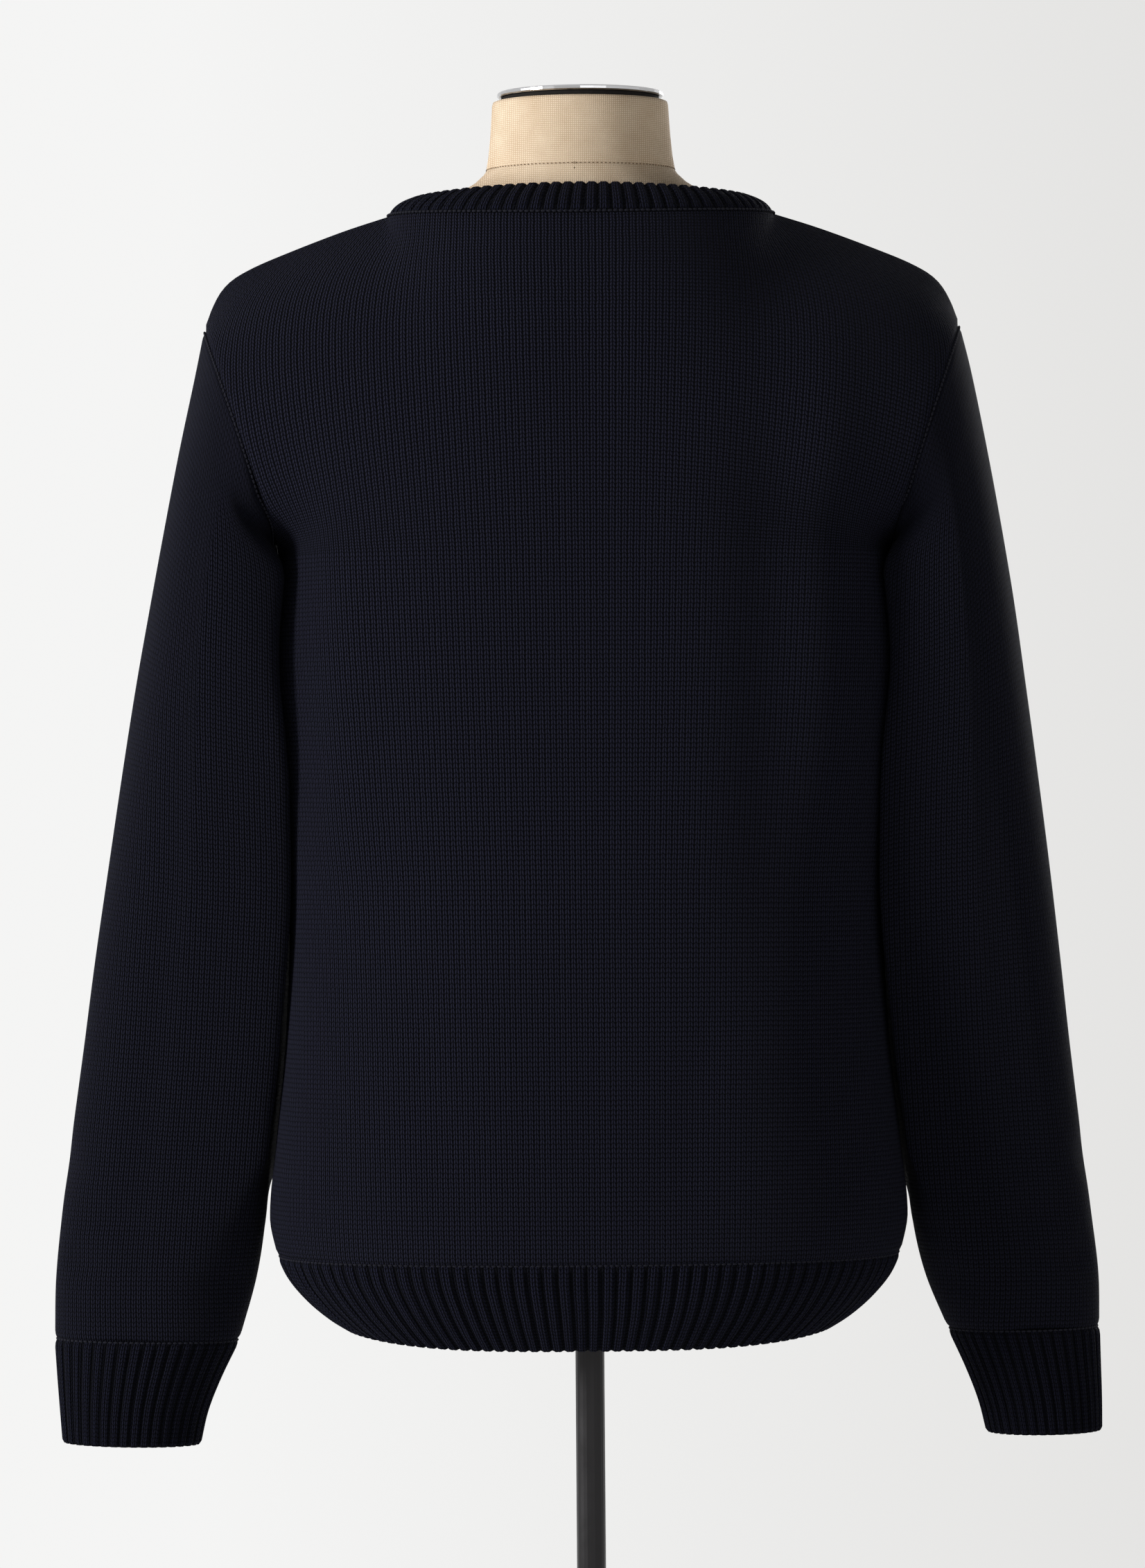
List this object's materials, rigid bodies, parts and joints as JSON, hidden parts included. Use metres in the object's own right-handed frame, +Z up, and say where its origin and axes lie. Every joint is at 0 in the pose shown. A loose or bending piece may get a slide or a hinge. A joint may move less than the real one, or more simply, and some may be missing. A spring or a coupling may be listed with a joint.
{
  "type": "crew-neck sweater on a dress form",
  "caption": "Navy knitted crew-neck sweater, long sleeves hanging, worn by a limbless linen dress form on a pole with a round base.",
  "frame": {"origin": "on the floor at the middle of the base's flat underside, on the axis of the pole", "axes": "+Z up along the pole, the front of the sweater faces -Y, the wearer's left is +X"},
  "size_m": [0.6515, 0.38, 1.4371],
  "materials": {
    "navy_knit": "matte knitted wool in stocking stitch, very dark navy",
    "navy_rib": "matte knitted wool in a two by two rib, very dark navy",
    "linen": "natural linen canvas in plain weave",
    "black_trim": "black binding under the cap",
    "polished_steel": "polished steel",
    "dark_steel": "satin dark grey steel"
  },
  "bodies": {
    "root": {"back_panel": "navy_knit", "front_panel": "navy_knit", "sleeve_left": "navy_knit", "sleeve_right": "navy_knit", "cuff_left": "navy_rib", "cuff_right": "navy_rib", "hem_rib": "navy_rib", "neckband": "navy_rib", "form_torso": "linen", "form_neck": "linen", "neck_ring": "black_trim", "neck_cap": "polished_steel", "pole_socket": "dark_steel", "pole": "dark_steel", "base": "dark_steel"}
  },
  "joints": []
}
